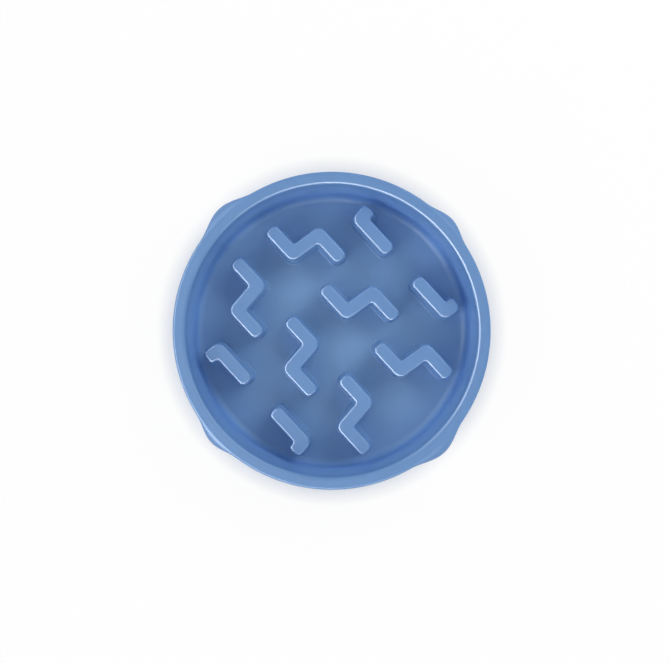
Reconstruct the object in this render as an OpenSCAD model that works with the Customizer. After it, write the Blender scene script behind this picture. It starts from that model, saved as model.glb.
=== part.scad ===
// Slow feeder bowl: one moulded bowl with a double wall and raised ridges, standing on four rubber feet.
// The origin is the middle of the footprint on the surface that the feet rest on, and +Z is up.

/* [Rim] */
// Outer diameter of the round rim
rim_d = 210; // [206:1:220]
// Height of the rim above the surface that the feet rest on
rim_h = 45; // [40:1:60]
// Width of the rim between the inner wall and the skirt, measured across its top
rim_w = 8.3; // [6:0.1:12]
// Radius that rounds the outer edge of the rim
rim_outer_round = 1.8; // [1:0.1:2.5]
// Radius that rounds the inner edge of the rim
rim_inner_round = 2.4; // [1:0.1:2.5]

/* [Inner bowl] */
// Thickness of the inner wall and of the floor
bowl_wall = 2.4; // [1.6:0.1:3]
// Lean of the inner wall from the vertical, in degrees
bowl_lean = 5; // [4:0.5:12]
// Radius of the fillet between the floor and the inner wall
floor_fillet = 5; // [4:0.5:12]
// Height of the underside of the floor above the surface that the feet rest on
floor_lift = 6; // [5:0.5:9]

/* [Skirt] */
// Thickness of the skirt
skirt_wall = 2.2; // [1.6:0.1:3]
// Lean of the skirt from the vertical, in degrees
skirt_lean = 1.5; // [0.5:0.25:2.5]
// Gap between the bottom edge of the skirt and the surface that the feet rest on
skirt_gap = 1.2; // [0.8:0.1:2]

/* [Ears] */
// How far each of the two large ears reaches past the round rim
ear_reach = 5.4; // [3:0.1:7]
// Width of a large ear, in degrees around the rim
ear_span = 26; // [20:1:32]
// How far each of the two small ears reaches past the round rim
small_ear_reach = 4.1; // [2:0.1:7]
// Width of a small ear, in degrees around the rim
small_ear_span = 21; // [16:1:30]
// How far the top of an ear falls from the rim to the tip of a large ear
ear_fall = 6; // [3:0.1:9]
// Step between the top of the rim and the start of an ear's slope
ear_step = 0.2; // [0.1:0.05:0.5]

/* [Ridges] */
// Height of a ridge above the floor
ridge_h = 22; // [15:0.5:26]
// Width of a ridge across its top
ridge_w = 9.6; // [8:0.1:12]
// Draft of the ridge walls, in degrees
ridge_draft = 3; // [2:0.5:6]
// Radius that rounds the top edges of a ridge
ridge_edge_round = 1.7; // [1:0.1:2]
// Radius of the fillet where a ridge meets the floor
ridge_foot_fillet = 1; // [0.6:0.1:2]
// Length of the first and last legs of a zigzag ridge
ridge_leg = 23; // [18:0.5:24]
// Length of the middle leg of a zigzag ridge
ridge_middle = 21.8; // [18:0.2:24]
// Turn of a ridge from one leg to the next, in degrees
ridge_bend = 83.5; // [75:0.5:95]
// Distance between neighbouring ridges, the same both ways
ridge_pitch = 53.7; // [50:0.1:56]
// How far the zigzag ridges lie off the bowl's middle, towards the back left
ridge_shift = 1.3; // [0:0.1:3]
// Radius of the outside of a ridge's bend, seen from above
bend_outer_round = 6; // [4:0.5:7]
// Radius of the inside of a ridge's bend, seen from above
bend_inner_round = 2; // [1:0.5:4]
// Radius of the corners at a ridge's ends, seen from above
end_round = 3.6; // [2:0.2:4]

/* [Wall-side ridges] */
// Length of the long leg of a wall-side ridge
side_leg = 29.5; // [20:0.5:30]
// Length of the short leg of a wall-side ridge
side_stub = 9.8; // [7:0.2:11]
// Distance of a wall-side ridge's bend from the bowl's middle, along the nearer axis
side_bend_far = 76; // [70:0.1:77]
// Distance of a wall-side ridge's bend from the bowl's middle, along the other axis
side_bend_near = 16.2; // [12:0.1:20]

/* [Feet] */
// Diameter of a foot's pad
foot_d = 14; // [10:0.5:15]
// Thickness of a foot's pad
foot_pad_h = 3; // [2.4:0.1:3.5]
// Diameter of a foot's stem
foot_stem_d = 6; // [4:0.5:7]
// Length of a foot's stem above its pad
foot_stem_l = 5.6; // [4:0.2:6]
// Diameter of the grip hollow under a pad
foot_hollow_d = 7; // [4:0.5:9]
// Depth of the grip hollow under a pad
foot_hollow_h = 0.6; // [0.3:0.1:1]
// Bevel round the bottom edge of a pad and the tip of a stem
foot_bevel = 0.6; // [0.3:0.1:1]
// Radial clearance between a foot and its seat
foot_clear = 0.1; // [0.05:0.05:0.3]
// Room left above the tip of a stem
foot_stem_room = 0.6; // [0.3:0.1:1]
// Wall of the post round a foot's seat
post_wall = 1.6; // [1:0.1:2.5]
// Distance from the rim's outer edge in to the middle of a foot, seen from above
foot_inset = 6; // [5:0.5:7.5]

/* [Hidden] */
$fn = 96;

// Overrun that carries a cut clear of the solid
overrun = 1;

rim_r = rim_d / 2;
bowl_top_r = rim_r - rim_w;
floor_top = floor_lift + bowl_wall;
skirt_foot_r = rim_r + (rim_h - skirt_gap) * tan(skirt_lean);
ridge_top = floor_top + ridge_h;
foot_place = rim_r - foot_inset;

// Segments of the arcs in a revolved profile, in a ridge's corners and up a ridge's rounded edges
profile_steps = 6;
corner_steps = 3;
edge_steps = 2;

// Middle of the fillet between the floor and the inner wall, and the same point for the underside
fillet_turn = 90 - bowl_lean;
floor_r = bowl_top_r - (rim_h - floor_top) * tan(bowl_lean) - floor_fillet * tan(fillet_turn / 2);
fillet_z = floor_top + floor_fillet;

function polar(radius, angle) = [radius * cos(angle), radius * sin(angle)];
function arc(middle, radius, from, to, steps) =
    [for (i = [0 : steps]) middle + polar(radius, from + (to - from) * i / steps)];

// Angles of the ears and of the feet, and the reach and span of each ear
quarter_turns = [45, 135, 225, 315];
function ear_reach_at(turn) = (turn % 180 == 135) ? ear_reach : small_ear_reach;
function ear_span_at(turn) = (turn % 180 == 135) ? ear_span : small_ear_span;

// The solid under the top surface of floor, inner wall, rim and skirt
module filled_blank() {
    inner_edge = rim_inner_round * tan(fillet_turn / 2);
    rotate_extrude()
        polygon(concat(
            [[0, skirt_gap], [0, floor_top]],
            arc([floor_r, fillet_z], floor_fillet, -90, -bowl_lean, profile_steps),
            arc([bowl_top_r + inner_edge, rim_h - rim_inner_round], rim_inner_round,
                180 - bowl_lean, 90, profile_steps),
            arc([rim_r - rim_outer_round, rim_h - rim_outer_round], rim_outer_round,
                90, skirt_lean, profile_steps),
            [[skirt_foot_r, skirt_gap]]
        ));
}

// The space under the floor and between the inner wall and the skirt
module underside_space() {
    under_fillet = floor_fillet + bowl_wall;
    ceiling = rim_h - bowl_wall;
    wall_top_r = bowl_top_r - (rim_h - ceiling) * tan(bowl_lean) + bowl_wall / cos(bowl_lean);
    skirt_top_r = rim_r - skirt_wall;
    rotate_extrude()
        polygon(concat(
            [[0, skirt_gap - overrun], [0, floor_lift]],
            arc([floor_r, fillet_z], under_fillet, -90, -bowl_lean, profile_steps),
            [[wall_top_r, ceiling], [skirt_top_r, ceiling]],
            [[skirt_foot_r - skirt_wall, skirt_gap], [skirt_foot_r - skirt_wall, skirt_gap - overrun]]
        ));
}

// Outline of an ear seen from above: a bump that swells out of the rim and back
module ear_outline(reach, span, inset) {
    root_r = rim_r - rim_w / 2;
    steps = 4 * profile_steps;
    polygon(concat(
        [for (i = [0 : steps])
            let (share = 2 * i / steps - 1)
            polar(rim_r - inset + reach * pow(cos(90 * share), 2), share * span / 2)],
        [polar(root_r, span / 2), polar(root_r, -span / 2)]
    ));
}

// The sloping shoulder that forms the top of the ears, lowered for their inner side
module ear_shoulder(lower) {
    start_r = rim_r - rim_outer_round;
    reach = max(ear_reach, small_ear_reach) + rim_outer_round;
    tip_r = start_r + reach + overrun;
    start_z = rim_h - ear_step - lower;
    rotate_extrude()
        polygon(concat(
            [[rim_r - rim_w / 2, skirt_gap - lower], [rim_r - rim_w / 2, start_z]],
            [for (i = [0 : profile_steps])
                let (share = i / profile_steps)
                [start_r + reach * share, start_z - ear_fall * (1 - cos(90 * share))]],
            [[tip_r, start_z - ear_fall - overrun], [tip_r, skirt_gap - lower]]
        ));
}

module ears(inset, lower) {
    intersection() {
        ear_shoulder(lower);
        for (turn = quarter_turns)
            rotate(turn)
                linear_extrude(rim_h)
                    ear_outline(ear_reach_at(turn), ear_span_at(turn), inset);
    }
}

// Outline of a ridge: the path is a list of points, half is half the width, and grow is how far
// the outline lies outside the one at the top, where the corner radii are measured
function turn_left(v) = [-v[1], v[0]];
function unit(v) = v / norm(v);
function mitre(path, i, side) =
    let (last = len(path) - 1)
    let (before = turn_left(unit(path[max(i, 1)] - path[max(i, 1) - 1])))
    let (after = turn_left(unit(path[min(i, last - 1) + 1] - path[min(i, last - 1)])))
    side * (before + after) / (1 + before * after);
function end_shift(path, i) =
    let (last = len(path) - 1)
    i == 0 ? unit(path[0] - path[1]) : i == last ? unit(path[last] - path[last - 1]) : [0, 0];
function sharp_outline(path, half, grow) =
    let (last = len(path) - 1)
    concat(
        [for (i = [0 : last]) path[i] + mitre(path, i, -1) * half + end_shift(path, i) * grow],
        [for (i = [last : -1 : 0]) path[i] + mitre(path, i, 1) * half + end_shift(path, i) * grow]
    );
// A rounded corner, whose arc takes up half of the shorter of its two sides at most
function corner_arc(a, b, c, round_out, round_in) =
    let (to = unit(b - a), from = unit(c - b))
    let (side = to[0] * from[1] - to[1] * from[0] < 0 ? -1 : 1)
    let (turn = acos(to * from))
    let (room = min(norm(b - a), norm(c - b)) / 2)
    let (radius = min(side > 0 ? round_out : round_in, room / tan(turn / 2)))
    let (middle = b - to * radius * tan(turn / 2) + turn_left(to) * side * radius)
    let (first = atan2(-turn_left(to)[1] * side, -turn_left(to)[0] * side))
    arc(middle, radius, first, first + side * turn, corner_steps);
function ridge_outline(path, half, grow) =
    let (sharp = sharp_outline(path, half, grow))
    let (count = len(sharp), last = len(path) - 1)
    let (least = ridge_edge_round / 4)
    let (at_end = max(least, end_round + grow))
    let (outside = max(least, bend_outer_round + grow), inside = max(least, bend_inner_round - grow))
    [for (i = [0 : count - 1])
        let (is_end = i == 0 || i == last || i == last + 1 || i == count - 1)
        each corner_arc(sharp[(i + count - 1) % count], sharp[i], sharp[(i + 1) % count],
            is_end ? at_end : outside, inside)];

// A closed solid through outlines at rising heights: levels is a list of [height, half width, growth].
// Its two ends are strips of four-sided faces from the outline's right side to its left
module lofted_ridge(path, levels) {
    rings = [for (level = levels)
        [for (p = ridge_outline(path, level[1], level[2])) [p[0], p[1], level[0]]]];
    n = len(rings[0]);
    top = (len(rings) - 1) * n;
    polyhedron(
        points = [for (ring = rings) each ring],
        faces = concat(
            [for (i = [0 : n / 2 - 2]) [i, i + 1, n - 2 - i, n - 1 - i]],
            [for (r = [0 : len(rings) - 2], i = [0 : n - 1])
                [r * n + i, (r + 1) * n + i, (r + 1) * n + (i + 1) % n, r * n + (i + 1) % n]],
            [for (i = [0 : n / 2 - 2]) [top + n - 1 - i, top + n - 2 - i, top + i + 1, top + i]]
        )
    );
}

// Half width of the sharp ridge at a height, before its edges are rounded
function ridge_half(z) = ridge_w / 2 + (ridge_top - z) * tan(ridge_draft);

// The outside of a ridge, from inside the floor up to its rounded top
module ridge_skin(path) {
    foot = ridge_half(floor_top) - ridge_w / 2;
    lofted_ridge(path, concat(
        [[floor_top - bowl_wall / 2, ridge_half(floor_top) + ridge_foot_fillet, foot + ridge_foot_fillet]],
        [for (i = [0 : edge_steps])
            let (angle = 90 * i / edge_steps)
            let (z = floor_top + ridge_foot_fillet * (1 - cos(angle)))
            let (out = ridge_foot_fillet * (1 - sin(angle)))
            [z, ridge_half(z) + out, ridge_half(z) - ridge_w / 2 + out]],
        [for (i = [0 : edge_steps])
            let (angle = 90 * i / edge_steps)
            let (z = ridge_top - ridge_edge_round * (1 - sin(angle)))
            let (in = ridge_edge_round * (1 - cos(angle)))
            [z, ridge_half(z) - in, ridge_half(z) - ridge_w / 2 - in]]
    ));
}

// The space inside a ridge, open below the floor
module ridge_space(path) {
    low = floor_lift - overrun;
    high = ridge_top - bowl_wall;
    lofted_ridge(path, [for (z = [low, high])
        [z, ridge_half(z) - bowl_wall, ridge_half(z) - ridge_w / 2 - bowl_wall]]);
}

// The path of a zigzag ridge about its own middle, and of a wall-side ridge about its bend
middle_turn = ridge_bend - 45;
function zigzag_path() =
    let (half_middle = polar(ridge_middle / 2, middle_turn))
    [-half_middle + polar(ridge_leg, 135), -half_middle, half_middle, half_middle + polar(ridge_leg, -45)];
function side_path() =
    [polar(side_leg, 135), [0, 0], polar(side_stub, middle_turn)];

// A path swapped across the diagonal, which turns a ridge that runs across into one that runs down
function swapped(path, sign) = [for (p = path) sign * [p[1], p[0]]];
function moved(path, place) = [for (p = path) p + place];

// Where a zigzag stands: step counts along its row, and side is 1 for the back row and -1 for the front row
function zigzag_place(step, side) =
    polar(ridge_shift, 135) + ridge_pitch * (polar(step, -45) + polar(side / 2, 45));

side_place = [side_bend_far, side_bend_near];
ridge_paths = concat(
    [for (step = [-1 : 1]) moved(zigzag_path(), zigzag_place(step, 1))],
    [for (step = [-1 : 1]) moved(swapped(zigzag_path(), -1), zigzag_place(step, -1))],
    [for (sign = [1, -1]) sign * moved(side_path(), side_place)],
    [for (sign = [1, -1]) swapped(moved(side_path(), side_place), sign)]
);

// Post that carries a foot, from the skirt's bottom edge up to the rim
module foot_posts() {
    for (turn = quarter_turns)
        rotate(turn)
            translate([foot_place, 0, skirt_gap])
                cylinder(h = rim_h - skirt_gap, d = foot_d + 2 * (foot_clear + post_wall));
}

// Seats cut into the posts: a pocket for the pad and a blind hole for the stem
module foot_seats() {
    for (turn = quarter_turns)
        rotate(turn)
            translate([foot_place, 0, 0]) {
                translate([0, 0, skirt_gap - overrun])
                    cylinder(h = foot_pad_h - skirt_gap + overrun, d = foot_d + 2 * foot_clear);
                translate([0, 0, skirt_gap])
                    cylinder(h = foot_pad_h + foot_stem_l + foot_stem_room - skirt_gap,
                        d = foot_stem_d + 2 * foot_clear);
            }
}

// The bowl: floor, inner wall, rim, skirt, ears, ridges and foot posts in one moulding
module bowl() {
    color([0.43, 0.58, 0.77])
        difference() {
            union() {
                filled_blank();
                ears(0, 0);
                for (path = ridge_paths)
                    ridge_skin(path);
            }
            difference() {
                union() {
                    underside_space();
                    ears(skirt_wall, bowl_wall);
                }
                foot_posts();
            }
            for (path = ridge_paths)
                ridge_space(path);
            foot_seats();
        }
}

// A rubber foot: a round pad with a grip hollow below and a stem that presses into its post
module foot(turn) {
    pad_r = foot_d / 2;
    stem_r = foot_stem_d / 2;
    hollow_r = foot_hollow_d / 2;
    stem_top = foot_pad_h + foot_stem_l;
    color([0.16, 0.18, 0.2])
        rotate(turn)
            translate([foot_place, 0, 0])
                rotate_extrude()
                    polygon([
                        [0, foot_hollow_h],
                        [hollow_r - foot_hollow_h, foot_hollow_h],
                        [hollow_r, 0],
                        [pad_r - foot_bevel, 0],
                        [pad_r, foot_bevel],
                        [pad_r, foot_pad_h],
                        [stem_r, foot_pad_h],
                        [stem_r, stem_top - foot_bevel],
                        [stem_r - foot_bevel, stem_top],
                        [0, stem_top]
                    ]);
}

module foot_back_right() foot(45);
module foot_back_left() foot(135);
module foot_front_left() foot(225);
module foot_front_right() foot(315);

bowl();
foot_front_left();
foot_front_right();
foot_back_left();
foot_back_right();
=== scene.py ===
"""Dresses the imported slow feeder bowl: its moulded shell, the posts under its rim and its rubber feet."""

import logging
import math
from dataclasses import dataclass, field
from enum import Enum
from typing import Optional, Sequence, Union

import bmesh
import bpy
from mathutils import Matrix, Vector
from mathutils.kdtree import KDTree


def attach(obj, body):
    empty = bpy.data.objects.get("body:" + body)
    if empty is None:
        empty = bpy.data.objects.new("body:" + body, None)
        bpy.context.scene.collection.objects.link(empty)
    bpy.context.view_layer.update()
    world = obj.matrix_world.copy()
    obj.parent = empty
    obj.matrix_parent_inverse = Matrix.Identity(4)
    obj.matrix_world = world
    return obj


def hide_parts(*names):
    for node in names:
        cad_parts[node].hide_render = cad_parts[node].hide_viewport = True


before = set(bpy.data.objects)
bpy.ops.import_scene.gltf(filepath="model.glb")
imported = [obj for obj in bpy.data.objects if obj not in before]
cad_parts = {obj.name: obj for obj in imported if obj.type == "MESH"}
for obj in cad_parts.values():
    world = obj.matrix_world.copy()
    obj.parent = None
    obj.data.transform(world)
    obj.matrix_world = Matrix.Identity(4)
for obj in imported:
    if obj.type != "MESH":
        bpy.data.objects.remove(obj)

log = logging.getLogger("bowl")

# Shapes are in millimetres and become metres when a ring is laid down. Finishes and lights are in metres
MM = 0.001
# In metres: how near two points have to be to become one, and how level an edge to count as flat
MERGE_DISTANCE = 1e-7
LEVEL_TOLERANCE = 1e-6
# Mirrors in the plane through the two large ears
MIRROR = Matrix(((0, -1, 0, 0), (-1, 0, 0, 0), (0, 0, 1, 0), (0, 0, 0, 1)))
# Directions that the ridges follow, as angles from +X in degrees
TO_BACK_LEFT = 135.0
TO_BACK_RIGHT = 45.0
TO_FRONT_RIGHT = -45.0
BODY = "root"

Ring = list[Vector]
Level = tuple[float, float, float]
Shares = tuple[float, ...]
Span = tuple[float, float]
Stretch = tuple[float, float, float]
Value = Union["Signal", float]
Tint = Union["Signal", tuple[float, float, float, float]]
Settings = dict[str, Union[str, bool]]
Inputs = dict[Union[str, int], Union["Signal", float, tuple[float, ...]]]
Owner = Union[bpy.types.Material, bpy.types.World]


class Quarter(Enum):
    """A diagonal of the bowl, by its angle from +X in degrees. Each carries an ear, a post and a foot."""

    BACK_RIGHT = 45.0
    BACK_LEFT = 135.0
    FRONT_LEFT = 225.0
    FRONT_RIGHT = 315.0

    @property
    def label(self) -> str:
        """The quarter's name as it stands in a node's name."""
        return self.name.lower()

    @property
    def is_large(self) -> bool:
        """Whether the ear on this diagonal is one of the two large ones."""
        return self in (Quarter.BACK_LEFT, Quarter.FRONT_RIGHT)


def polar(radius: float, angle: float) -> Vector:
    """A flat point from a radius and an angle in degrees."""
    turn = math.radians(angle)
    return Vector((radius * math.cos(turn), radius * math.sin(turn)))


def arc(middle: Vector, radius: float, start: float, end: float, steps: int) -> list[Vector]:
    """Points along an arc.

    Args:
        middle: Centre of the arc.
        radius: Its radius.
        start: Angle of the first point, in degrees.
        end: Angle of the last point, in degrees.
        steps: Number of segments.

    Returns:
        The points from first to last.
    """
    return [middle + polar(radius, start + (end - start) * i / steps) for i in range(steps + 1)]


def between(start: Vector, end: Vector, shares: Shares) -> list[Vector]:
    """Points at the given shares of the way from one point to another."""
    return [start.lerp(end, share) for share in shares]


def quarter_turn(steps: int) -> list[float]:
    """The angles of a quarter turn in equal steps, from 0 up, in radians."""
    return [math.pi / 2 * i / steps for i in range(steps + 1)]


def placed(x: float, y: float, z: float) -> Vector:
    """A point in metres from three sizes in millimetres."""
    return Vector((x, y, z)) * MM


def deselect_all() -> None:
    """Leaves nothing selected, so that the next operator acts on its own piece alone."""
    bpy.ops.object.select_all(action="DESELECT")


def pick(*pieces: bpy.types.Object) -> None:
    """Selects some pieces alone.

    Args:
        pieces: The pieces. The first one becomes active.
    """
    deselect_all()
    for piece in pieces:
        piece.select_set(True)
    bpy.context.view_layer.objects.active = pieces[0]


class RingTower:
    """A skin drawn ring by ring: a circle is laid on the first ring and extruded on to each ring after it."""

    def __init__(self, name: str, first: Ring) -> None:
        """Adds the circle and opens it in edit mode.

        Args:
            name: Name of the new piece.
            first: Points of the first ring, in metres.
        """
        deselect_all()
        bpy.ops.mesh.primitive_circle_add(vertices=len(first), radius=1.0, fill_type="NOTHING")
        self.piece: bpy.types.Object = bpy.context.active_object
        self.piece.name = name
        self.piece.data.name = name
        for vertex, point in zip(self.piece.data.vertices, first):
            vertex.co = point
        self._last: Ring = first
        bpy.ops.object.mode_set(mode="EDIT")
        bpy.ops.mesh.select_mode(type="VERT")
        bpy.ops.mesh.select_all(action="SELECT")

    def rise(self, ring: Ring) -> None:
        """Extrudes the open edge and lays it on the next ring.

        Args:
            ring: Points of the next ring, as many as the first one has.
        """
        finder = KDTree(len(self._last))
        for index, point in enumerate(self._last):
            finder.insert(point, index)
        finder.balance()
        bpy.ops.mesh.extrude_region_move()
        mesh = bmesh.from_edit_mesh(self.piece.data)
        for vertex in mesh.verts:
            if vertex.select:
                vertex.co = ring[finder.find(vertex.co)[1]]
        bmesh.update_edit_mesh(self.piece.data)
        self._last = ring

    def climb(self, rings: Sequence[Ring]) -> "RingTower":
        """Rises through several rings in turn.

        Args:
            rings: The rings, from the next one on.

        Returns:
            The tower, so that calls can be chained.
        """
        for ring in rings:
            self.rise(ring)
        return self

    def cap(self) -> "RingTower":
        """Closes the ring that was laid last with one face, and returns the tower."""
        bpy.ops.mesh.edge_face_add()
        return self

    def cap_open_edges(self) -> "RingTower":
        """Closes the only open edge that is left, wherever it is, with one face.

        Returns:
            The tower, so that calls can be chained.
        """
        bpy.ops.mesh.select_all(action="DESELECT")
        bpy.ops.mesh.select_non_manifold(use_wire=False, use_multi_face=False, use_non_contiguous=False,
                                         use_verts=False)
        bpy.ops.mesh.edge_face_add()
        return self

    def done(self) -> bpy.types.Object:
        """Leaves edit mode and returns the piece."""
        bpy.ops.object.mode_set(mode="OBJECT")
        return self.piece


def clean_skin(piece: bpy.types.Object, smooth_angle: float) -> None:
    """Merges doubles on a closed piece, turns every face outwards, and smooths its shallow edges.

    Args:
        piece: The closed piece.
        smooth_angle: Edges that turn by less than this, in degrees, are shaded smooth.
    """
    pick(piece)
    bpy.ops.object.mode_set(mode="EDIT")
    bpy.ops.mesh.select_all(action="SELECT")
    bpy.ops.mesh.remove_doubles(threshold=MERGE_DISTANCE)
    bpy.ops.mesh.normals_make_consistent(inside=False)
    bpy.ops.object.mode_set(mode="OBJECT")
    bpy.ops.object.shade_smooth_by_angle(angle=math.radians(smooth_angle))


def open_edges(piece: bpy.types.Object) -> int:
    """Counts the edges that don't lie between exactly two faces.

    Args:
        piece: The piece to look at.

    Returns:
        How many such edges there are, and 0 for a closed piece.
    """
    mesh = bmesh.new()
    mesh.from_mesh(piece.data)
    count = sum(1 for edge in mesh.edges if len(edge.link_faces) != 2)
    mesh.free()
    return count


@dataclass(frozen=True)
class RidgePath:
    """The centre line of a ridge, as flat points in millimetres."""

    points: tuple[Vector, ...]

    @staticmethod
    def _left(direction: Vector) -> Vector:
        """A direction turned a quarter to the left."""
        return Vector((-direction.y, direction.x))

    def _corner(self, index: int, side: int, half: float, grow: float) -> Vector:
        """A sharp corner of the outline.

        Args:
            index: Which point of the centre line the corner belongs to.
            side: 1 for the left side, -1 for the right.
            half: Half the width of the outline.
            grow: How far the ends reach past the centre line's ends.

        Returns:
            The corner.
        """
        last = len(self.points) - 1
        at = self.points[index]
        before = (self.points[max(index, 1)] - self.points[max(index, 1) - 1]).normalized()
        after = (self.points[min(index, last - 1) + 1] - self.points[min(index, last - 1)]).normalized()
        left = self._left(before) + self._left(after)
        mitre = left / (1.0 + before.dot(after))
        reach = Vector((0.0, 0.0))
        if index == 0:
            reach = -before
        elif index == last:
            reach = after
        return at + mitre * (side * half) + reach * grow

    def outline(self, half: float, grow: float, form: "RidgeForm") -> list[Vector]:
        """The rounded outline of the ridge at one level, anticlockwise.

        Args:
            half: Half the width at this level.
            grow: How far this level lies outside the outline at the top.
            form: The ridge's sizes.

        Returns:
            The same number of points at every level.
        """
        last = len(self.points) - 1
        right = [self._corner(i, -1, half, grow) for i in range(last + 1)]
        left = [self._corner(i, 1, half, grow) for i in range(last, -1, -1)]
        sharp = right + left
        count = len(sharp)
        points: list[Vector] = []
        for i, corner in enumerate(sharp):
            is_end = i in (0, last, last + 1, count - 1)
            to = corner - sharp[i - 1]
            away = sharp[(i + 1) % count] - corner
            room = min(to.length, away.length) / 2
            to.normalize()
            away.normalize()
            turn = math.acos(max(-1.0, min(1.0, to.dot(away))))
            side = -1 if to.x * away.y - to.y * away.x < 0 else 1
            outside = (form.end_round if is_end else form.outer_round) + grow
            wanted = outside if side > 0 else form.inner_round - grow
            radius = min(max(form.least_round, wanted), room / math.tan(turn / 2))
            middle = corner - to * radius * math.tan(turn / 2) + self._left(to) * side * radius
            spoke = -self._left(to) * side
            first = math.degrees(math.atan2(spoke.y, spoke.x))
            steps = form.end_steps if is_end else form.bend_steps
            points += arc(middle, radius, first, first + side * math.degrees(turn), steps)
        return points


@dataclass(frozen=True)
class RidgeForm:
    """Sizes of the ridges: a zigzag with three legs, and a shorter one that stands next to the wall."""

    width: float = 9.6
    height: float = 22.0
    draft: float = 3.0
    edge_round: float = 1.7
    foot_fillet: float = 1.0
    leg: float = 23.0
    middle: float = 21.8
    bend: float = 83.5
    pitch: float = 53.7
    shift: float = 1.3
    outer_round: float = 6.0
    inner_round: float = 2.0
    end_round: float = 3.6
    least_round: float = 0.35
    side_leg: float = 29.5
    side_stub: float = 9.8
    side_far: float = 76.0
    side_near: float = 16.2
    mouth_round: float = 0.8
    space_round: float = 1.0
    flat_edge: float = 0.4
    end_steps: int = 8
    bend_steps: int = 12
    fillet_steps: int = 7
    edge_steps: int = 8
    space_steps: int = 3

    def zigzag(self) -> RidgePath:
        """Draws the centre line of a zigzag about its own middle.

        Returns:
            The centre line, from its back left end to its front right end.
        """
        half_middle = polar(self.middle / 2, self.bend + TO_FRONT_RIGHT)
        start = -half_middle + polar(self.leg, TO_BACK_LEFT)
        end = half_middle + polar(self.leg, TO_FRONT_RIGHT)
        return RidgePath((start, -half_middle, half_middle, end))

    def wall_side(self) -> RidgePath:
        """The centre line of a wall-side ridge about its bend."""
        stub = polar(self.side_stub, self.bend + TO_FRONT_RIGHT)
        return RidgePath((polar(self.side_leg, TO_BACK_LEFT), Vector((0.0, 0.0)), stub))

    def zigzag_places(self) -> list[Matrix]:
        """Places the zigzags: a row of three, and its mirror image in the other diagonal.

        Returns:
            Six placements, in metres.
        """
        places = []
        for step in (-1, 0, 1):
            pitches = polar(step, TO_FRONT_RIGHT) + polar(0.5, TO_BACK_RIGHT)
            middle = polar(self.shift, TO_BACK_LEFT) + pitches * self.pitch
            row = Matrix.Translation(placed(middle.x, middle.y, 0.0))
            places += [row, MIRROR @ row]
        return places

    def wall_side_places(self) -> list[Matrix]:
        """Places the wall-side ridges.

        Returns:
            Four placements, in metres.
        """
        row = Matrix.Translation(placed(self.side_far, self.side_near, 0.0))
        half_turn = Matrix.Rotation(math.pi, 4, "Z")
        return [row, half_turn @ row, MIRROR @ row, half_turn @ MIRROR @ row]


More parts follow.
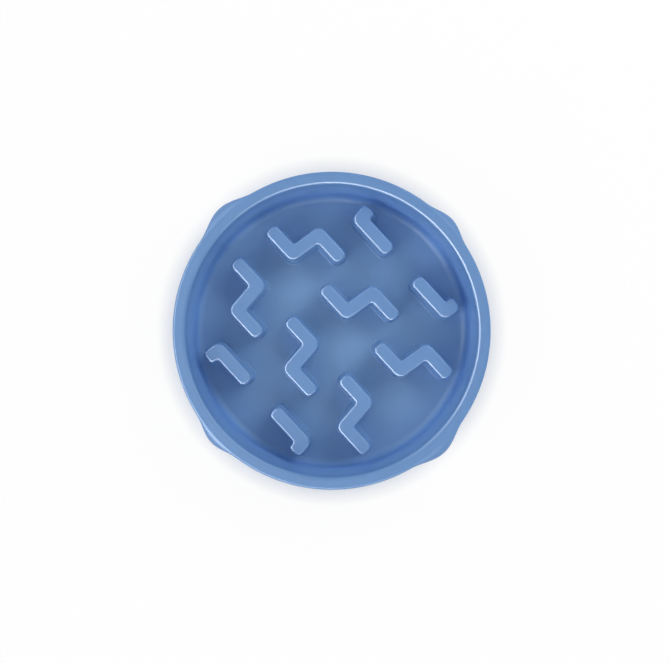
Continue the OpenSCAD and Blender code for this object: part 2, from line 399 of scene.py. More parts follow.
@dataclass
class BowlShell:
    """The bowl's one moulding: floor, inner wall, rim with its ears, skirt and the ridges on the floor."""

    rim_r: float = 105.0
    rim_h: float = 45.0
    rim_w: float = 8.3
    outer_round: float = 1.8
    inner_round: float = 2.4
    wall: float = 2.4
    lean: float = 5.0
    floor_fillet: float = 5.0
    floor_lift: float = 6.0
    skirt_wall: float = 2.2
    skirt_flare: float = 1.147
    skirt_gap: float = 1.2
    hem_round: float = 0.8
    hem_start: float = -15.0
    ear_reach: float = 5.4
    ear_span: float = 26.0
    small_ear_reach: float = 4.1
    small_ear_span: float = 21.0
    ear_fall: float = 4.2
    ear_slope: float = 0.5
    corner_round: float = 1.0
    flat_edge: float = 0.5
    around: int = 240
    fillet_steps: int = 12
    under_fillet_steps: int = 10
    rim_steps: int = 9
    shoulder_steps: int = 14
    under_shoulder_steps: int = 6
    hem_out_steps: int = 5
    hem_in_steps: int = 6
    wall_shares: Shares = (0.05, 0.35, 0.65, 0.95)
    flat_shares: Shares = (0.1, 0.4, 0.7, 0.9)
    skirt_shares: Shares = (0.04, 0.15, 0.3, 0.45, 0.6, 0.75, 0.9, 1.0)
    skirt_inside_shares: Shares = (0.25, 0.5, 0.75, 0.95)
    corner_shares: Shares = (0.0, 0.25, 0.5, 0.75, 1.0)
    wall_outside_shares: Shares = (0.05, 0.5, 0.95)
    fill_turn: float = -13.7
    smooth_angle: float = 40.0
    form: RidgeForm = field(default_factory=RidgeForm)

    @property
    def floor_top(self) -> float:
        """Height of the floor's upper face."""
        return self.floor_lift + self.wall

    @property
    def ridge_top(self) -> float:
        """Height of the ridges' tops."""
        return self.floor_top + self.form.height

    @property
    def bowl_r(self) -> float:
        """Radius of the inner wall at the rim's height, before its edge is rounded."""
        return self.rim_r - self.rim_w

    @property
    def floor_r(self) -> float:
        """Radius at which the floor's fillet starts."""
        fall = (self.rim_h - self.floor_top) * math.tan(math.radians(self.lean))
        return self.bowl_r - fall - self.floor_fillet * math.tan(math.radians(90.0 - self.lean) / 2)

    @property
    def fillet_middle(self) -> Vector:
        """Centre of the fillet between floor and wall, as radius and height."""
        return Vector((self.floor_r, self.floor_top + self.floor_fillet))

    @property
    def hem_top(self) -> float:
        """Height at which the rounding of the skirt's lower edge starts."""
        return self.skirt_gap + self.hem_round

    def ear(self, turn: float) -> float:
        """Works out how far the ears reach past the round rim.

        Args:
            turn: Angle around the bowl, in degrees.

        Returns:
            The reach there, and 0 between the ears.
        """
        for quarter in Quarter:
            span = self.ear_span if quarter.is_large else self.small_ear_span
            reach = self.ear_reach if quarter.is_large else self.small_ear_reach
            share = abs(turn - quarter.value) / (span / 2)
            if share < 1.0:
                return reach * math.cos(math.pi / 2 * share) ** 2
        return 0.0

    def fall(self, ear: float) -> float:
        """How far the rim's edge drops where an ear has the given reach."""
        return self.ear_fall * ear / self.ear_reach

    def roundness(self, ear: float) -> float:
        """The power of the rim's edge curve: 2 for a round edge, and less where it slopes into an ear."""
        return 2.0 - self.ear_slope * ear / self.ear_reach

    def outer_wall(self, ear: float, z: float) -> float:
        """Works out the radius of the skirt's outside.

        Args:
            ear: The ear's reach at this angle.
            z: The height.

        Returns:
            The radius.
        """
        top = self.rim_h - self.outer_round - self.fall(ear)
        share = (top - z) / (top - self.skirt_gap)
        return self.rim_r + math.hypot(ear, self.skirt_flare * share)

    def _shoulder(self, start: Vector, reach: float, fall: float, ear: float, steps: int) -> list[Vector]:
        """The rounded edge of the rim, which stretches into a sloping shoulder at an ear.

        Args:
            start: Where the edge leaves the flat, as radius and height.
            reach: How far it goes out.
            fall: How far it goes down.
            ear: The ear's reach at this angle.
            steps: Number of segments.

        Returns:
            The points from the flat to the skirt.
        """
        power = 2.0 / self.roundness(ear)
        points = []
        for turn in quarter_turn(steps):
            out = math.sin(turn) ** power
            down = 1.0 - max(math.cos(turn), 0.0) ** power
            points.append(start + Vector((reach * out, -fall * down)))
        return points

    def _inside_and_rim(self, ear: float) -> list[Vector]:
        """The part of the section that is seen from above.

        Args:
            ear: The ear's reach at this angle.

        Returns:
            Points from the floor up the inner wall and over the rim to the top of the skirt.
        """
        start = Vector((self.floor_r - self.flat_edge, self.floor_top))
        fillet = arc(self.fillet_middle, self.floor_fillet, -90.0, -self.lean, self.fillet_steps)
        inner_edge = self.inner_round * math.tan(math.radians(90.0 - self.lean) / 2)
        rim_middle = Vector((self.bowl_r + inner_edge, self.rim_h - self.inner_round))
        rounding = arc(rim_middle, self.inner_round, 180.0 - self.lean, 90.0, self.rim_steps)
        wall = between(fillet[-1], rounding[0], self.wall_shares)
        flat_end = Vector((self.rim_r - self.outer_round, self.rim_h))
        flat = between(rounding[-1], flat_end, self.flat_shares)
        reach = self.outer_round + ear
        fall = self.outer_round + self.fall(ear)
        shoulder = self._shoulder(flat_end, reach, fall, ear, self.shoulder_steps)
        return [start] + fillet + wall + rounding + flat + shoulder

    def _skirt_and_hem(self, ear: float, top: float) -> list[Vector]:
        """The part of the section that is seen from the side.

        Args:
            ear: The ear's reach at this angle.
            top: Height of the top of the skirt.

        Returns:
            Points down the skirt's outside and round its lower edge.
        """
        outside = []
        for share in self.skirt_shares:
            z = top + (self.hem_top - top) * share
            outside.append(Vector((self.outer_wall(ear, z), z)))
        hem_out = Vector((outside[-1].x - self.hem_round, self.hem_top))
        hem_in = Vector((outside[-1].x - self.skirt_wall + self.hem_round, self.hem_top))
        outer_half = arc(hem_out, self.hem_round, self.hem_start, -90.0, self.hem_out_steps)
        inner_half = arc(hem_in, self.hem_round, -90.0, -180.0, self.hem_in_steps)
        return outside + outer_half + inner_half

    def _underside(self, ear: float) -> list[Vector]:
        """The part of the section that is seen from below.

        Args:
            ear: The ear's reach at this angle.

        Returns:
            Points up the skirt's inside, under the rim and down the inner wall's outside to the floor.
        """
        ceiling = self.rim_h - self.wall
        flat_end = Vector((self.rim_r - self.outer_round - self.corner_round, ceiling))
        reach = self.outer_round + self.corner_round - self.skirt_wall + ear
        fall = self.corner_round + self.fall(ear)
        shoulder = self._shoulder(flat_end, reach, fall, ear, self.under_shoulder_steps)
        skirt = []
        for share in self.skirt_inside_shares:
            z = self.hem_top + (shoulder[-1].y - self.hem_top) * share
            skirt.append(Vector((self.outer_wall(ear, z) - self.skirt_wall, z)))

        thick = self.floor_fillet + self.wall
        fillet = arc(self.fillet_middle, thick, -self.lean, -90.0, self.under_fillet_steps)
        lift = ceiling - fillet[0].y
        wall_top = fillet[0] + Vector((lift * math.tan(math.radians(self.lean)), lift))
        corner_in = wall_top + Vector((self.corner_round, 0.0))
        corner_down = wall_top.lerp(fillet[0], self.corner_round / lift)
        corner = [corner_in.lerp(wall_top, share).lerp(wall_top.lerp(corner_down, share), share)
                  for share in self.corner_shares]
        wall = between(corner[-1], fillet[0], self.wall_outside_shares)
        end = Vector((self.floor_r - self.flat_edge, self.floor_lift))
        return skirt + list(reversed(shoulder)) + corner + wall + fillet + [end]

    def section(self, turn: float) -> list[Vector]:
        """The shell's section at an angle around the bowl, from the floor over the rim to the underside.

        Args:
            turn: The angle in degrees.

        Returns:
            Points of radius and height, the same number at every angle.
        """
        ear = self.ear(turn)
        upper = self._inside_and_rim(ear)
        return upper + self._skirt_and_hem(ear, upper[-1].y) + self._underside(ear)

    def _skin(self) -> bpy.types.Object:
        """Draws the round shell.

        Returns:
            The shell, open at the floor's two faces.
        """
        turns = [360.0 * k / self.around for k in range(self.around)]
        sections = [self.section(turn) for turn in turns]
        rings: list[Ring] = []
        for row in zip(*sections):
            flats = [polar(point.x, turn) for point, turn in zip(row, turns)]
            rings.append([placed(flat.x, flat.y, point.y) for flat, point in zip(flats, row)])
        return RingTower("bowl_shell", rings[0]).climb(rings[1:]).done()

    def _ridge_rings(self, path: RidgePath, levels: Sequence[Level]) -> list[Ring]:
        """Rings for a ridge from its levels of height, half width and growth."""
        return [[placed(point.x, point.y, z) for point in path.outline(half, grow, self.form)]
                for z, half, grow in levels]

    def _level(self, z: float, shift: float) -> Level:
        """A level of a ridge at a height, moved outwards from the drafted wall by a shift."""
        drafted = (self.ridge_top - z) * math.tan(math.radians(self.form.draft))
        return z, self.form.width / 2 + drafted + shift, drafted + shift

    def ridge_levels(self) -> list[Level]:
        """Lists the levels of a ridge's outside.

        Returns:
            Levels from the floor up: flat edge, fillet, wall, rounded edge, flat top.
        """
        form = self.form
        levels = [self._level(self.floor_top, form.foot_fillet + form.flat_edge)]
        for turn in quarter_turn(form.fillet_steps):
            z = self.floor_top + form.foot_fillet * (1.0 - math.cos(turn))
            levels.append(self._level(z, form.foot_fillet * (1.0 - math.sin(turn))))
        for turn in quarter_turn(form.edge_steps):
            z = self.ridge_top - form.edge_round * (1.0 - math.sin(turn))
            levels.append(self._level(z, -form.edge_round * (1.0 - math.cos(turn))))
        levels.append(self._level(self.ridge_top, -form.edge_round - form.flat_edge))
        return levels

    def space_levels(self) -> list[Level]:
        """Lists the levels of the space inside a ridge.

        Returns:
            Levels from the floor's underside up.
        """
        form = self.form
        top = self.ridge_top - self.wall
        levels = [self._level(self.floor_lift, form.mouth_round + form.flat_edge - self.wall)]
        for turn in quarter_turn(form.space_steps):
            z = self.floor_lift + form.mouth_round * (1.0 - math.cos(turn))
            levels.append(self._level(z, form.mouth_round * (1.0 - math.sin(turn)) - self.wall))
        for turn in quarter_turn(form.space_steps):
            z = top - form.space_round * (1.0 - math.sin(turn))
            levels.append(self._level(z, -form.space_round * (1.0 - math.cos(turn)) - self.wall))
        return levels

    def _ridges(self) -> list[bpy.types.Object]:
        """Models each kind of ridge once, inside and out, and copies it to its places.

        Returns:
            The copies, open at the bottom.
        """
        made = []
        kinds = ((self.form.zigzag(), self.form.zigzag_places(), "zigzag"),
                 (self.form.wall_side(), self.form.wall_side_places(), "wall_side"))
        for path, places, name in kinds:
            for levels, side in ((self.ridge_levels(), "outside"), (self.space_levels(), "inside")):
                rings = self._ridge_rings(path, levels)
                model = RingTower(f"{name}_{side}", rings[0]).climb(rings[1:]).cap().done()
                for place in places:
                    copy = model.copy()
                    copy.data = model.data.copy()
                    copy.data.transform(place)
                    bpy.context.collection.objects.link(copy)
                    made.append(copy)
                bpy.data.objects.remove(model)
        return made

    @staticmethod
    def _turn_all(turn: float) -> None:
        """Turns all points by some degrees about Z. The fill needs points that aren't level in X or Y."""
        bpy.ops.mesh.select_all(action="SELECT")
        bpy.ops.transform.rotate(value=math.radians(turn), orient_axis="Z", center_override=(0.0, 0.0, 0.0))

    @staticmethod
    def _fill_at(piece: bpy.types.Object, z: float) -> None:
        """Fills the flat between all the open edges at one height.

        Args:
            piece: The shell with its ridges, in edit mode.
            z: The height in millimetres.
        """
        bpy.ops.mesh.select_all(action="DESELECT")
        mesh = bmesh.from_edit_mesh(piece.data)
        for edge in mesh.edges:
            is_level = all(abs(vertex.co.z - z * MM) < LEVEL_TOLERANCE for vertex in edge.verts)
            if edge.is_boundary and is_level:
                edge.select_set(True)
        bmesh.update_edit_mesh(piece.data)
        bpy.ops.mesh.fill(use_beauty=True)

    def build(self) -> bpy.types.Object:
        """Models the shell, joins the ridges to it and closes the floor between them.

        Returns:
            The finished shell.
        """
        shell = self._skin()
        pick(shell, *self._ridges())
        bpy.ops.object.join()
        bpy.ops.object.mode_set(mode="EDIT")
        bpy.ops.mesh.select_mode(type="EDGE")
        self._turn_all(self.fill_turn)
        self._fill_at(shell, self.floor_top)
        self._fill_at(shell, self.floor_lift)
        self._turn_all(-self.fill_turn)
        bpy.ops.object.mode_set(mode="OBJECT")
        clean_skin(shell, self.smooth_angle)
        return shell


@dataclass
class FootPost:
    """A post moulded between the inner wall and the skirt, with the seat of a foot in its lower end."""

    quarter: Quarter
    shell: BowlShell
    place: float = 99.0
    radius: float = 8.7
    seat_r: float = 7.1
    seat_top: float = 3.0
    stem_r: float = 3.1
    stem_top: float = 9.2
    edge: float = 0.3
    around: int = 72
    smooth_angle: float = 35.0
    # Heights of the rings, closer together where the post follows the rim's edge and the floor's fillet
    heights: tuple[float, ...] = (43.4, 42.6, 41.6, 40.4, 39.0, 37.0, 30.0, 22.0, 16.0,
                                  13.5, 11.5, 10.0, 8.9, 8.1, 7.5, 7.0, 4.0)

    def _wall_middle(self, z: float) -> float:
        """Works out the radius of the middle of the inner wall's thickness.

        Args:
            z: The height.

        Returns:
            The radius.
        """
        shell = self.shell
        middle = shell.fillet_middle
        bend = shell.floor_fillet + shell.wall / 2
        drop = middle.y - z
        lean = math.radians(shell.lean)
        if drop > bend * math.sin(lean):
            return middle.x + math.sqrt(max(bend ** 2 - drop ** 2, 0.0))
        return shell.bowl_r - (shell.rim_h - z) * math.tan(lean) + shell.wall / 2 / math.cos(lean)

    def _skirt_middle(self, ear: float, z: float) -> float:
        """Works out the radius of the middle of the skirt's thickness.

        Args:
            ear: The ear's reach at this angle.
            z: The height.

        Returns:
            The radius.
        """
        shell = self.shell
        top = shell.rim_h - shell.wall / 2
        start = shell.rim_r - shell.outer_round - shell.corner_round / 2
        reach = shell.rim_r + ear - shell.skirt_wall / 2 - start
        share = (top - z) / (shell.corner_round + shell.fall(ear))
        if share >= 1.0:
            return shell.outer_wall(ear, z) - shell.skirt_wall / 2
        power = shell.roundness(ear)
        return start + reach * (1.0 - (1.0 - share) ** power) ** (1.0 / power)

    def _ring(self, radius: float, z: float, trimmed: bool) -> Ring:
        """A ring of the post.

        Args:
            radius: Its radius.
            z: Its height.
            trimmed: Whether it stops inside the inner wall and the skirt.

        Returns:
            The ring's points, in metres.
        """
        ring = []
        for k in range(self.around):
            point = polar(self.place, self.quarter.value) + polar(radius, 360.0 * k / self.around)
            if trimmed:
                turn = math.degrees(math.atan2(point.y, point.x)) % 360.0
                far = self._skirt_middle(self.shell.ear(turn), z)
                reach = min(max(point.length, self._wall_middle(z)), far)
                point = point.normalized() * reach
            ring.append(placed(point.x, point.y, z))
        return ring

    def build(self) -> bpy.types.Object:
        """Models the post from its top down, and its seat from the bottom up.

        Returns:
            The finished post.
        """
        low = self.shell.skirt_gap
        rings = [self._ring(self.radius, z, True) for z in self.heights]
        rings.append(self._ring(self.radius, low + self.edge, True))
        rings.append(self._ring(self.radius - self.edge, low, True))
        seat = ((self.seat_r + self.edge, low), (self.seat_r, low + self.edge), (self.seat_r, self.seat_top),
                (self.stem_r, self.seat_top), (self.stem_r, self.stem_top))
        rings += [self._ring(radius, z, False) for radius, z in seat]
        tower = RingTower(f"foot_post_{self.quarter.label}", rings[0]).climb(rings[1:]).cap()
        post = tower.cap_open_edges().done()
        clean_skin(post, self.smooth_angle)
        return post


@dataclass
class RubberFoot:
    """A rubber foot: a pad with grip rings round a hollow, and a stem that presses into its post."""

    quarter: Quarter
    place: float = 99.0
    pad_r: float = 7.0
    pad_h: float = 3.0
    stem_r: float = 3.0
    stem_h: float = 5.6
    bevel: float = 0.6
    hollow_r: float = 3.5
    hollow_h: float = 0.6
    hollow_lip: float = 0.1
    dimple_r: float = 0.8
    dimple_edge_r: float = 1.2
    groove: float = 0.25
    groove_places: Shares = (4.45, 5.4)
    bevel_steps: int = 5
    shoulder_steps: int = 3
    around: int = 64
    smooth_angle: float = 30.0

    def section(self) -> list[Vector]:
        """Draws half the foot's section.

        Returns:
            Points from the middle of its hollow out and up to the tip of its stem.
        """
        top = self.pad_h + self.stem_h
        points = [Vector((self.dimple_r, self.hollow_h + self.groove)),
                  Vector((self.dimple_edge_r, self.hollow_h)),
                  Vector((self.hollow_r - self.hollow_h, self.hollow_h)),
                  Vector((self.hollow_r - self.groove, self.groove)),
                  Vector((self.hollow_r + self.hollow_lip, 0.0))]
        for middle in self.groove_places:
            points += [Vector((middle - self.groove, 0.0)),
                       Vector((middle, self.groove)),
                       Vector((middle + self.groove, 0.0))]
        corner = Vector((self.pad_r - self.bevel, self.bevel))
        points += arc(corner, self.bevel, -90.0, 0.0, self.bevel_steps)
        shoulder = Vector((self.pad_r - self.groove, self.pad_h - self.groove))
        points += arc(shoulder, self.groove, 0.0, 90.0, self.shoulder_steps)
        points += [Vector((self.stem_r + self.groove, self.pad_h)),
                   Vector((self.stem_r, self.pad_h + self.groove)),
                   Vector((self.stem_r, top - self.bevel)),
                   Vector((self.stem_r - self.bevel, top))]
        return points

    def build(self) -> bpy.types.Object:
        """Models the foot ring by ring about its own axis.

        Returns:
            The finished foot.
        """
        centre = polar(self.place, self.quarter.value)
        rings: list[Ring] = []
        for point in self.section():
            flats = [centre + polar(point.x, 360.0 * k / self.around) for k in range(self.around)]
            rings.append([placed(flat.x, flat.y, point.y) for flat in flats])
        tower = RingTower(f"foot_pad_{self.quarter.label}", rings[0]).climb(rings[1:]).cap()
        foot = tower.cap_open_edges().done()
        clean_skin(foot, self.smooth_angle)
        return foot


class Signal:
    """A node's output that takes part in Python expressions. Each operator adds its Math node."""

    def __init__(self, desk: "NodeDesk", socket: Optional[bpy.types.NodeSocket]) -> None:
        """Wraps a socket of a node on a desk."""
        self.desk = desk
        self.socket = socket

    def _math(self, operation: str, first: Value, second: Value) -> "Signal":
        """Adds a Math node for two values and returns its result."""
        return self.desk.node("ShaderNodeMath", {"operation": operation}, {0: first, 1: second}, "Value")

    def __add__(self, other: Value) -> "Signal":
        """This value plus another."""
        return self._math("ADD", self, other)

    def __radd__(self, other: Value) -> "Signal":
        """Another value plus this one."""
        return self._math("ADD", other, self)

    def __sub__(self, other: Value) -> "Signal":
        """This value less another."""
        return self._math("SUBTRACT", self, other)

    def __rsub__(self, other: Value) -> "Signal":
        """Another value less this one."""
        return self._math("SUBTRACT", other, self)

    def __mul__(self, other: Value) -> "Signal":
        """This value times another."""
        return self._math("MULTIPLY", self, other)

    def __rmul__(self, other: Value) -> "Signal":
        """Another value times this one."""
        return self._math("MULTIPLY", other, self)

    def spread(self, low: float, high: float) -> "Signal":
        """The value stretched so that low becomes 0 and high becomes 1, and kept between them."""
        inputs = {"Value": self, "From Min": low, "From Max": high}
        return self.desk.node("ShaderNodeMapRange", {"clamp": True}, inputs, "Result")


@dataclass(frozen=True)
class Pattern:
    """A noise pattern: its scale, how much finer detail it has and how rough that is, and its stretch."""

    scale: float
    detail: float
    roughness: float
    stretch: Stretch = (1.0, 1.0, 1.0)


class NodeDesk:
    """The node tree of a material or of the world, with one method that adds any node."""

    def __init__(self, owner: Owner) -> None:
        """Empties the owner's node tree.

        Args:
            owner: The material or the world that is being made.
        """
        self.owner = owner
        owner.use_nodes = True
        self.tree = owner.node_tree
        self.tree.nodes.clear()

    def node(self, kind: str, settings: Settings, inputs: Inputs, output: Union[str, int] = 0) -> Signal:
        """Adds a node.

        Args:
            kind: The node's type.
            settings: Its settings, such as a Math node's operation, which are set first.
            inputs: The value or link of each socket, by name or number.
            output: The socket that the caller goes on with.

        Returns:
            That socket as a signal, or an empty signal where the node has no outputs.
        """
        node = self.tree.nodes.new(kind)
        for key, value in settings.items():
            setattr(node, key, value)
        for key, value in inputs.items():
            socket = node.inputs[key]
            if isinstance(value, Signal):
                self.tree.links.new(value.socket, socket)
            else:
                socket.default_value = value
        return Signal(self, node.outputs[output] if node.outputs else None)

    def place(self, stretch: Stretch = (1.0, 1.0, 1.0)) -> Signal:
        """Object coordinates, stretched along the three axes."""
        here = self.node("ShaderNodeTexCoord", {}, {}, "Object")
        return self.node("ShaderNodeMapping", {}, {"Vector": here, "Scale": stretch}, "Vector")

    def height(self) -> Signal:
        """Height above the ground."""
        return self.node("ShaderNodeSeparateXYZ", {}, {"Vector": self.place()}, "Z")

    def reach(self) -> Signal:
        """Distance from the bowl's axis."""
        flat = self.place((1.0, 1.0, 0.0))
        return self.node("ShaderNodeVectorMath", {"operation": "LENGTH"}, {0: flat}, "Value")

    def noise(self, pattern: Pattern) -> Signal:
        """The value of a noise pattern."""
        inputs = {"Vector": self.place(pattern.stretch), "Scale": pattern.scale, "Detail": pattern.detail,
                  "Roughness": pattern.roughness}
        return self.node("ShaderNodeTexNoise", {}, inputs, "Fac")

    def blend(self, share: Value, first: Tint, second: Tint) -> Signal:
        """A colour between two. They are inputs 6 and 7 of a Mix node, and the result is output 2."""
        return self.node("ShaderNodeMix", {"data_type": "RGBA"}, {0: share, 6: first, 7: second}, 2)

    def bump(self, height: Signal, strength: float, distance: float) -> Signal:
        """A normal from a height."""
        inputs = {"Height": height, "Strength": strength, "Distance": distance}
        return self.node("ShaderNodeBump", {}, inputs, "Normal")

    def seen_directly(self) -> Signal:
        """Tells what is looked at from what lights the object.

        Returns:
            1 for what the camera or a reflection looks at, and 0 for light that falls on the object.
        """
        camera = self.node("ShaderNodeLightPath", {}, {}, "Is Camera Ray")
        glossy = self.node("ShaderNodeLightPath", {}, {}, "Is Glossy Ray")
        return (camera + glossy).spread(0.0, 1.0)

    def finish(self, shader: Signal) -> Owner:
        """Leads a shader to the output.

        Args:
            shader: The shader.

        Returns:
            The finished material or world.
        """
        is_world = isinstance(self.owner, bpy.types.World)
        kind = "ShaderNodeOutputWorld" if is_world else "ShaderNodeOutputMaterial"
        self.node(kind, {}, {"Surface": shader})
        return self.owner


@dataclass(frozen=True)
class BowlPlastic:
    """Mid blue polypropylene: satin all over, and polished along the tops of the rim and the ridges. The
    floor and the inner wall carry painted bounce light: a paler, bluer colour that lifts the shade in the
    hollow.
    """

    blue: Tint = (0.131, 0.278, 0.556, 1.0)
    pale: Tint = (0.141, 0.291, 0.573, 1.0)
    deep: Tint = (0.122, 0.265, 0.539, 1.0)
    painted_bounce_floor: Tint = (0.222, 0.385, 0.615, 1.0)
    painted_bounce_wall: Tint = (0.172, 0.350, 0.705, 1.0)
    least_roughness: float = 0.44
    cloud_roughness: float = 0.05
    grain_roughness: float = 0.08
    specular: float = 0.1
    coat_ior: float = 1.5
    gleam: float = 0.22
    floor_bounce_share: float = 0.72
    least_bounce_share: float = 0.8
    # Heights and distances from the axis between which the painted bounce light and the polish come and go
    bounce_fade: float = 0.010
    ridge_bounce_top: float = 0.0295
    wall_bounce_top: float = 0.044
    wall_from: float = 0.0905
    wall_to: float = 0.0940
    skirt_from: float = 0.0975
    skirt_to: float = 0.0985
    dull_below: float = 0.022
    bright_above: float = 0.028
    dull_outside: float = 0.1035
    bright_inside: float = 0.1015
    least_polish: float = 0.05
    outer_polish: float = 0.35
    cloud: Pattern = Pattern(scale=28.0, detail=4.0, roughness=0.55)
    cloud_span: Span = (0.3, 0.7)
    streak: Pattern = Pattern(scale=210.0, detail=2.0, roughness=0.5, stretch=(1.0, 0.12, 1.0))
    streak_span: Span = (0.35, 0.75)
    grain: Pattern = Pattern(scale=1500.0, detail=2.0, roughness=0.6)
    grain_strength: float = 0.12
    grain_depth: float = 0.00005

    def _polish(self, height: Signal, reach: Signal) -> Signal:
        """Where the plastic is polished.

        Args:
            height: Height on the bowl.
            reach: Distance from the bowl's axis.

        Returns:
            1 on the tops of the rim and the ridges, less on the skirt's outside, and near 0 on the floor.
        """
        outside = reach.spread(self.bright_inside, self.dull_outside)
        raised = height.spread(self.dull_below, self.bright_above) * (1.0 - outside)
        return raised * (1.0 - self.least_polish) + outside * self.outer_polish + self.least_polish

    def _painted_bounce(self, height: Signal, reach: Signal, near_wall: Signal) -> Signal:
        """Where bounce light is painted into the colour, to lift the shade in the hollow.

        Args:
            height: Height on the bowl.
            reach: Distance from the bowl's axis.
            near_wall: 1 on the inner wall and beyond it, and 0 on the floor.

        Returns:
            1 on the inner wall, less on the floor, and 0 on the ridges' tops, on the rim and on the skirt.
        """
        inside = 1.0 - reach.spread(self.skirt_from, self.skirt_to)
        top = near_wall * (self.wall_bounce_top - self.ridge_bounce_top) + self.ridge_bounce_top
        low = ((top - height) * (1.0 / self.bounce_fade)).spread(0.0, 1.0)
        return low * inside * (near_wall * (1.0 - self.floor_bounce_share) + self.floor_bounce_share)

    def make(self) -> Owner:
        """Builds the material.

        Returns:
            The material.
        """
        desk = NodeDesk(bpy.data.materials.new("bowl_plastic"))
        cloud = desk.noise(self.cloud).spread(*self.cloud_span)
        streak = desk.noise(self.streak).spread(*self.streak_span)
        grain = desk.noise(self.grain)
        height = desk.height()
        reach = desk.reach()
        near_wall = reach.spread(self.wall_from, self.wall_to)
        fresh = desk.blend(cloud, self.deep, desk.blend(streak, self.blue, self.pale))
        # Painted bounce light: a paler, bluer colour on the floor and the inner wall, standing in for light
        # that reaches the shaded hollow
        bounce_tint = desk.blend(near_wall, self.painted_bounce_floor, self.painted_bounce_wall)
        bounce_mask = self._painted_bounce(height, reach, near_wall) * (cloud * (1.0 - self.least_bounce_share) + self.least_bounce_share)
        inputs = {
            "Base Color": desk.blend(bounce_mask, fresh, bounce_tint),
            "Roughness": cloud * self.cloud_roughness + grain * self.grain_roughness + self.least_roughness,
            "Normal": desk.bump(grain, self.grain_strength, self.grain_depth),
            "Specular IOR Level": self.specular,
            "Coat Weight": self._polish(height, reach),
            "Coat Roughness": self.gleam,
            "Coat IOR": self.coat_ior,
        }
        return desk.finish(desk.node("ShaderNodeBsdfPrincipled", {}, inputs))


@dataclass(frozen=True)
class FootRubber:
    """Matt dark grey rubber with a faint bloom."""

    dark: Tint = (0.020, 0.023, 0.027, 1.0)
    bloom: Tint = (0.052, 0.056, 0.062, 1.0)
    least_roughness: float = 0.66
    cloud_roughness: float = 0.12
    cloud: Pattern = Pattern(scale=260.0, detail=4.0, roughness=0.6)
    cloud_span: Span = (0.4, 0.8)
    grain: Pattern = Pattern(scale=2600.0, detail=2.0, roughness=0.6)
    grain_strength: float = 0.3
    grain_depth: float = 0.00008

    def make(self) -> Owner:
        """Builds the material.

        Returns:
            The material.
        """
        desk = NodeDesk(bpy.data.materials.new("foot_rubber"))
        cloud = desk.noise(self.cloud).spread(*self.cloud_span)
        inputs = {
            "Base Color": desk.blend(cloud, self.dark, self.bloom),
            "Roughness": cloud * self.cloud_roughness + self.least_roughness,
            "Normal": desk.bump(desk.noise(self.grain), self.grain_strength, self.grain_depth),
        }
        return desk.finish(desk.node("ShaderNodeBsdfPrincipled", {}, inputs))


@dataclass(frozen=True)
class PaleGround:
    """A plain white ground. What looks at it straight sees plain white, and the shadow close to the bowl."""

    white: Tint = (0.95, 0.95, 0.95, 1.0)
    glow: Tint = (1.0, 1.0, 1.0, 1.0)
    shadow_to: float = 0.109
    glow_from: float = 0.124
    glow_share: float = 0.93

    def make(self) -> Owner:
        """Builds the material.

        Returns:
            The material.
        """
        desk = NodeDesk(bpy.data.materials.new("pale_ground"))
        matt = desk.node("ShaderNodeBsdfDiffuse", {}, {"Color": self.white})
        glow = desk.node("ShaderNodeEmission", {}, {"Color": self.glow, "Strength": 1.0})
        clear = desk.reach().spread(self.shadow_to, self.glow_from)
        share = desk.seen_directly() * (clear * self.glow_share)
        return desk.finish(desk.node("ShaderNodeMixShader", {}, {0: share, 1: matt, 2: glow}))


@dataclass(frozen=True)
class SoftBox:
    """A rectangular lamp that faces the bowl."""

    name: str
    azimuth: float
    elevation: float
    level: float
    width: float
    height: float
    is_sheen: bool = False
    away: float = 1.6

    def hang(self) -> None:
        """Hangs the lamp. Its level is the light that a white surface turned to it gives back."""
        flat = polar(self.away * math.cos(math.radians(self.elevation)), self.azimuth)
        place = Vector((flat.x, flat.y, self.away * math.sin(math.radians(self.elevation))))
        deselect_all()
        bpy.ops.object.light_add(type="AREA", location=place)
        lamp = bpy.context.active_object
        lamp.name = self.name
        lamp.data.shape = "RECTANGLE"
        lamp.data.size = self.width
        lamp.data.size_y = self.height
        lamp.data.energy = self.level * (math.pi * self.away) ** 2
        lamp.rotation_euler = (-place).to_track_quat("-Z", "Y").to_euler()
        lamp.visible_diffuse = not self.is_sheen


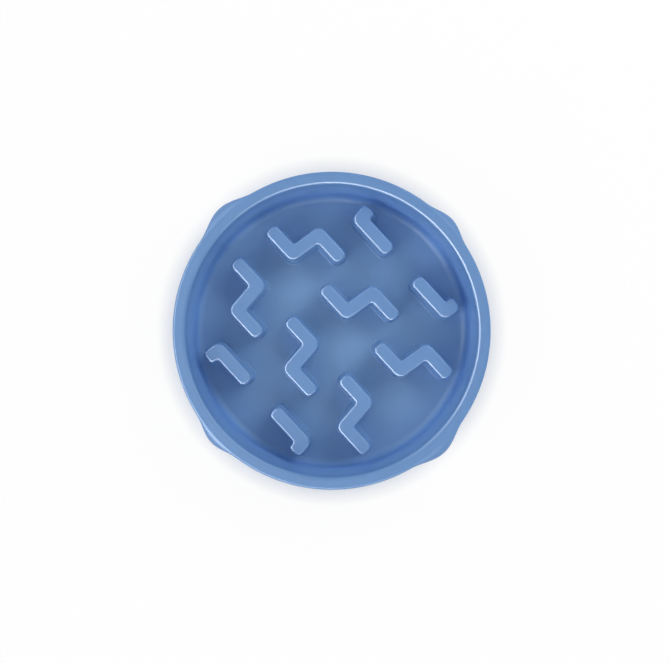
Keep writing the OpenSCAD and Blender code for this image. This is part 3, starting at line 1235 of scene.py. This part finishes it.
@dataclass
class Studio:
    """The white ground, the even white surroundings, the soft boxes, and the camera above."""

    ground_size: float = 8.0
    ground_drop: float = 0.00005
    camera_height: float = 0.645
    camera_x: float = 0.0019
    camera_y: float = -0.0004
    camera_roll: float = 2.35
    lens: float = 49.05
    sensor: float = 36.0
    white: Tint = (1.0, 1.0, 1.0, 1.0)
    ambient: float = 0.475
    fill: float = 0.15
    fill_width: float = 1.4
    fill_height: float = 0.8
    fill_elevation: float = 26.0
    back_fill: float = 0.40
    back_elevation: float = 40.0
    key: float = 0.18
    key_size: float = 0.9
    key_azimuth: float = 215.0
    key_elevation: float = 34.0
    sheen: float = 0.72
    sheen_width: float = 0.6
    sheen_height: float = 1.1
    sheen_azimuth: float = 222.0
    sheen_elevation: float = 38.0
    sheen_span: float = 80.0
    sheen_end: float = 0.3
    sheen_power: int = 4
    sheen_boxes: int = 9

    def _ground(self) -> None:
        """Lays the ground just under the feet."""
        deselect_all()
        bpy.ops.mesh.primitive_plane_add(size=self.ground_size, location=(0.0, 0.0, -self.ground_drop))
        ground = bpy.context.active_object
        ground.name = "ground"
        ground.data.materials.append(PaleGround().make())

    def _world(self) -> None:
        """Makes the surroundings an even soft white, and plain white where they are looked at."""
        desk = NodeDesk(bpy.data.worlds.new("studio"))
        soft = desk.node("ShaderNodeBackground", {}, {"Color": self.white, "Strength": self.ambient})
        plain = desk.node("ShaderNodeBackground", {}, {"Color": self.white, "Strength": 1.0})
        share = desk.node("ShaderNodeLightPath", {}, {}, "Is Camera Ray")
        mixed = desk.node("ShaderNodeMixShader", {}, {0: share, 1: soft, 2: plain})
        bpy.context.scene.world = desk.finish(mixed)

    def _lamps(self) -> None:
        """Hangs the key light, a low fill light on each side, and the soft boxes that gleam on the edges."""
        size = self.key_size
        SoftBox("key_light", self.key_azimuth, self.key_elevation, self.key, size, size).hang()
        for quarter in Quarter:
            level = self.fill
            elevation = self.fill_elevation
            if quarter is Quarter.BACK_RIGHT:
                level = self.back_fill
                elevation = self.back_elevation
            SoftBox(f"fill_light_{quarter.label}", quarter.value, elevation, level, self.fill_width,
                    self.fill_height).hang()
        for index in range(self.sheen_boxes):
            share = 2.0 * index / (self.sheen_boxes - 1) - 1.0
            level = self.sheen * (1.0 - (1.0 - self.sheen_end) * share ** self.sheen_power)
            azimuth = self.sheen_azimuth + share * self.sheen_span
            SoftBox(f"sheen_light_{index}", azimuth, self.sheen_elevation, level, self.sheen_width,
                    self.sheen_height, True).hang()

    def _camera(self) -> None:
        """Hangs the camera straight above the bowl, looking down."""
        deselect_all()
        bpy.ops.object.camera_add(location=(self.camera_x, self.camera_y, self.camera_height),
                                  rotation=(0.0, 0.0, math.radians(self.camera_roll)))
        camera = bpy.context.active_object
        camera.name = "camera"
        camera.data.lens = self.lens
        camera.data.sensor_width = self.sensor
        bpy.context.scene.camera = camera

    def build(self) -> None:
        """Sets up the ground, the lights and the camera."""
        bpy.context.scene.view_settings.view_transform = "Standard"
        self._world()
        self._ground()
        self._lamps()
        self._camera()


def hand_over(piece: bpy.types.Object, material: Owner, node: str) -> None:
    """Dresses a piece and says which CAD node it stands for.

    Args:
        piece: The finished piece, at the origin.
        material: Its material.
        node: The CAD node that it replaces.
    """
    piece.data.materials.clear()
    piece.data.materials.append(material)
    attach(piece, BODY)
    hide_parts(node)
    faces = len(piece.data.polygons)
    log.info("%s: %d faces, %d open edges, for %s", piece.name, faces, open_edges(piece), node)


def main() -> None:
    """Builds the bowl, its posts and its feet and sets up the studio."""
    logging.basicConfig(level=logging.INFO, format="%(name)s: %(message)s")
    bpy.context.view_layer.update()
    Studio().build()
    plastic = BowlPlastic().make()
    rubber = FootRubber().make()
    shell = BowlShell()
    hand_over(shell.build(), plastic, "bowl")
    for quarter in Quarter:
        hand_over(FootPost(quarter, shell).build(), plastic, "bowl")
        hand_over(RubberFoot(quarter).build(), rubber, f"foot_{quarter.label}")


if __name__ == "__main__":
    main()
